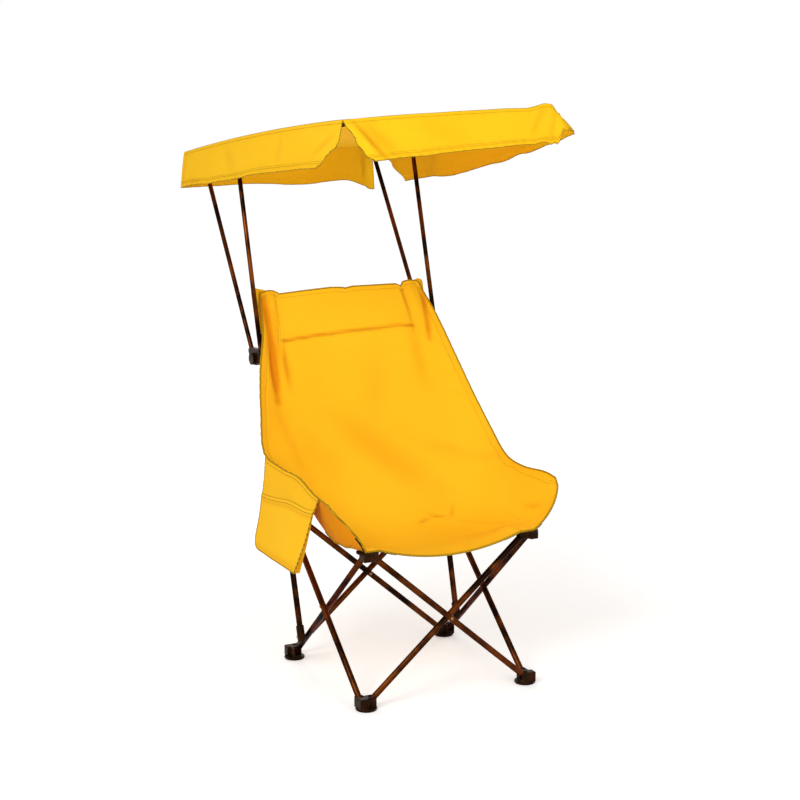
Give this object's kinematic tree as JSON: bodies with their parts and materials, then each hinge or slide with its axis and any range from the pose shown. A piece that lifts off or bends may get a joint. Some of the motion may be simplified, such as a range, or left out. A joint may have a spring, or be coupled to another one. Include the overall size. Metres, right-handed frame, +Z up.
{
  "type": "folding chair with canopy",
  "caption": "Folding scoop-seat camp chair with a cloth sling on a crossed tube frame, a side pocket and a tilting cloth sun canopy.",
  "frame": {"origin": "middle of the open chair's outline on the floor, at the height of the foot pads' undersides", "axes": "+Z up, the chair faces -Y, +X to the right of the chair seen from the front; metres"},
  "size_m": [0.7066, 1.1224, 1.5121],
  "materials": {
    "brown_painted_steel": "satin",
    "dark_moulded_plastic": "matte",
    "black_rubber": "matte",
    "bronzed_rivet": "satin",
    "yellow_woven_polyester": "matte",
    "yellow_canopy_polyester": "matte"
  },
  "bodies": {
    "rear_left_foot": {"foot_rear_left": "dark_moulded_plastic", "foot_pad_rear_left": "black_rubber"},
    "left_inner_tube": {"left_tube_inner": "brown_painted_steel", "left_crossing_rivet": "bronzed_rivet", "left_socket_rivet": "bronzed_rivet"},
    "left_outer_tube": {"left_tube_outer": "brown_painted_steel"},
    "front_left_hub": {"front_left_hub": "dark_moulded_plastic", "front_left_corner_washer": "dark_moulded_plastic"},
    "front_left_foot": {"foot_front_left": "dark_moulded_plastic", "foot_pad_front_left": "black_rubber"},
    "rear_left_slider": {"left_rear_slider": "dark_moulded_plastic"},
    "front_inner_tube": {"front_tube_inner": "brown_painted_steel", "front_crossing_rivet": "bronzed_rivet"},
    "front_outer_tube": {"front_tube_outer": "brown_painted_steel"},
    "front_right_foot": {"foot_front_right": "dark_moulded_plastic", "foot_pad_front_right": "black_rubber"},
    "front_right_hub": {"front_right_hub": "dark_moulded_plastic", "front_right_corner_washer": "dark_moulded_plastic"},
    "rear_outer_tube": {"rear_tube_outer": "brown_painted_steel"},
    "rear_inner_tube": {"rear_tube_inner": "brown_painted_steel", "rear_crossing_rivet": "bronzed_rivet"},
    "rear_right_foot": {"foot_rear_right": "dark_moulded_plastic", "foot_pad_rear_right": "black_rubber"},
    "rear_right_slider": {"right_rear_slider": "dark_moulded_plastic"},
    "right_outer_tube": {"right_tube_outer": "brown_painted_steel", "right_socket_rivet": "bronzed_rivet"},
    "right_inner_tube": {"right_tube_inner": "brown_painted_steel", "right_crossing_rivet": "bronzed_rivet"},
    "left_upright": {"left_upright": "brown_painted_steel", "left_upright_socket": "dark_moulded_plastic", "left_upright_cap": "dark_moulded_plastic", "left_top_pocket": "yellow_woven_polyester", "left_canopy_clamp": "dark_moulded_plastic", "sling_back": "yellow_woven_polyester"},
    "right_upright": {"right_upright": "brown_painted_steel", "right_upright_socket": "dark_moulded_plastic", "right_upright_cap": "dark_moulded_plastic", "right_top_pocket": "yellow_woven_polyester", "right_canopy_clamp": "dark_moulded_plastic"},
    "sling_seat": {"sling_seat": "yellow_woven_polyester", "side_pocket": "yellow_woven_polyester"},
    "sling_front": {"sling_front": "yellow_woven_polyester"},
    "canopy_left": {"left_canopy_hub": "dark_moulded_plastic", "left_canopy_knob": "dark_moulded_plastic", "left_canopy_rail": "brown_painted_steel", "left_rail_cap": "dark_moulded_plastic", "left_front_rod": "brown_painted_steel", "left_rear_rod": "brown_painted_steel", "left_front_rod_rivet": "bronzed_rivet", "left_rear_rod_rivet": "bronzed_rivet", "canopy_cover": "yellow_canopy_polyester"},
    "canopy_right": {"right_canopy_hub": "dark_moulded_plastic", "right_canopy_knob": "dark_moulded_plastic", "right_canopy_rail": "brown_painted_steel", "right_rail_cap": "dark_moulded_plastic", "right_front_rod": "brown_painted_steel", "right_rear_rod": "brown_painted_steel", "right_front_rod_rivet": "bronzed_rivet", "right_rear_rod_rivet": "bronzed_rivet"}
  },
  "joints": [
    {"name": "frame_fold", "type": "hinge", "parent": "rear_left_foot", "child": "left_inner_tube", "pos_m": [-0.22, -0.067, 0.025], "axis": [-1, 0, 0], "range_deg": [0, 42.23], "deforming": ["sling_back", "sling_seat", "sling_front", "side_pocket", "canopy_cover"]},
    {"name": "rear_outer_tube_foot_pin", "type": "hinge", "parent": "rear_left_foot", "child": "rear_outer_tube", "pos_m": [-0.2085, -0.0385, 0.025], "axis": [0, 1, 0], "range_deg": [-42.28, 0]},
    {"name": "front_left_hub_pin", "type": "hinge", "parent": "left_inner_tube", "child": "front_left_hub", "pos_m": [-0.22, -0.503, 0.401], "axis": [-1, 0, 0], "range_deg": [-42.28, 0]},
    {"name": "left_crossing_pin", "type": "hinge", "parent": "left_inner_tube", "child": "left_outer_tube", "pos_m": [-0.2285, -0.285, 0.213], "axis": [-1, 0, 0], "range_deg": [-84.5, 0]},
    {"name": "front_left_foot_pin", "type": "hinge", "parent": "left_outer_tube", "child": "front_left_foot", "pos_m": [-0.237, -0.503, 0.025], "axis": [-1, 0, 0], "range_deg": [0, 42.28]},
    {"name": "rear_left_slider_pin", "type": "hinge", "parent": "left_outer_tube", "child": "rear_left_slider", "pos_m": [-0.237, -0.067, 0.401], "axis": [-1, 0, 0], "range_deg": [0, 42.28]},
    {"name": "front_inner_tube_foot_pin", "type": "hinge", "parent": "front_left_foot", "child": "front_inner_tube", "pos_m": [-0.2085, -0.5145, 0.025], "axis": [0, -1, 0], "range_deg": [0, 42.28]},
    {"name": "front_crossing_pin", "type": "hinge", "parent": "front_inner_tube", "child": "front_outer_tube", "pos_m": [0.0095, -0.523, 0.213], "axis": [0, -1, 0], "range_deg": [-84.5, 0]},
    {"name": "front_right_foot_pin", "type": "hinge", "parent": "front_outer_tube", "child": "front_right_foot", "pos_m": [0.2275, -0.5315, 0.025], "axis": [0, -1, 0], "range_deg": [0, 42.28]},
    {"name": "front_right_hub_pin", "type": "hinge", "parent": "front_inner_tube", "child": "front_right_hub", "pos_m": [0.2275, -0.5145, 0.401], "axis": [0, -1, 0], "range_deg": [-42.28, 0]},
    {"name": "rear_crossing_pin", "type": "hinge", "parent": "rear_outer_tube", "child": "rear_inner_tube", "pos_m": [0.0095, -0.047, 0.213], "axis": [0, 1, 0], "range_deg": [0, 84.5]},
    {"name": "rear_right_foot_pin", "type": "hinge", "parent": "rear_inner_tube", "child": "rear_right_foot", "pos_m": [0.2275, -0.0555, 0.025], "axis": [0, 1, 0], "range_deg": [-42.28, 0]},
    {"name": "rear_right_slider_pin", "type": "hinge", "parent": "rear_outer_tube", "child": "rear_right_slider", "pos_m": [0.2275, -0.0385, 0.401], "axis": [0, 1, 0], "range_deg": [0, 42.28]},
    {"name": "right_outer_tube_foot_pin", "type": "hinge", "parent": "rear_right_foot", "child": "right_outer_tube", "pos_m": [0.256, -0.067, 0.025], "axis": [1, 0, 0], "range_deg": [-42.28, 0]},
    {"name": "right_crossing_pin", "type": "hinge", "parent": "right_outer_tube", "child": "right_inner_tube", "pos_m": [0.2475, -0.285, 0.213], "axis": [1, 0, 0], "range_deg": [0, 84.5]},
    {"name": "left_upright_pin", "type": "hinge", "parent": "left_inner_tube", "child": "left_upright", "pos_m": [-0.239, -0.14273, 0.09031], "axis": [-1, 0, 0], "range_deg": [-55.45, 0]},
    {"name": "right_upright_pin", "type": "hinge", "parent": "right_outer_tube", "child": "right_upright", "pos_m": [0.237, -0.14273, 0.09031], "axis": [-1, 0, 0], "range_deg": [-55.45, 0]},
    {"name": "sling_seat_fold", "type": "hinge", "parent": "left_upright", "child": "sling_seat", "pos_m": [0.0095, -0.0407, 0.67134], "axis": [1, 0, 0], "range_deg": [0, 28.47]},
    {"name": "sling_front_fold", "type": "hinge", "parent": "front_left_hub", "child": "sling_front", "pos_m": [0.0095, -0.535, 0.41831], "axis": [1, 0, 0], "range_deg": [-71.83, 0]},
    {"name": "canopy_tilt", "type": "hinge", "parent": "left_upright", "child": "canopy_left", "pos_m": [-0.2616, 0.07975, 0.82], "axis": [1, 0, 0], "range_deg": [-100, 10]},
    {"name": "canopy_tilt_right", "type": "hinge", "parent": "right_upright", "child": "canopy_right", "pos_m": [0.27721, 0.07975, 0.82], "axis": [1, 0, 0], "range_deg": [-100.05, 10.05]}
  ],
  "couplings": [
    {"joint": "rear_outer_tube_foot_pin", "follows": "frame_fold", "ratio": -1},
    {"joint": "front_left_hub_pin", "follows": "frame_fold", "ratio": -1},
    {"joint": "left_crossing_pin", "follows": "frame_fold", "ratio": -2},
    {"joint": "front_left_foot_pin", "follows": "frame_fold", "ratio": 1},
    {"joint": "rear_left_slider_pin", "follows": "frame_fold", "ratio": 1},
    {"joint": "front_inner_tube_foot_pin", "follows": "frame_fold", "ratio": 1},
    {"joint": "front_crossing_pin", "follows": "frame_fold", "ratio": -2},
    {"joint": "front_right_foot_pin", "follows": "frame_fold", "ratio": 1},
    {"joint": "front_right_hub_pin", "follows": "frame_fold", "ratio": -1},
    {"joint": "rear_crossing_pin", "follows": "frame_fold", "ratio": 2},
    {"joint": "rear_right_foot_pin", "follows": "frame_fold", "ratio": -1},
    {"joint": "rear_right_slider_pin", "follows": "frame_fold", "ratio": 1},
    {"joint": "right_outer_tube_foot_pin", "follows": "frame_fold", "ratio": -1},
    {"joint": "right_crossing_pin", "follows": "frame_fold", "ratio": 2},
    {"joint": "left_upright_pin", "follows": "frame_fold", "ratio": -1.3121},
    {"joint": "right_upright_pin", "follows": "frame_fold", "ratio": -1.3121},
    {"joint": "sling_seat_fold", "follows": "frame_fold", "ratio": 0.673},
    {"joint": "sling_front_fold", "follows": "frame_fold", "ratio": -1.7},
    {"joint": "canopy_tilt_right", "follows": "canopy_tilt", "ratio": 1}
  ]
}
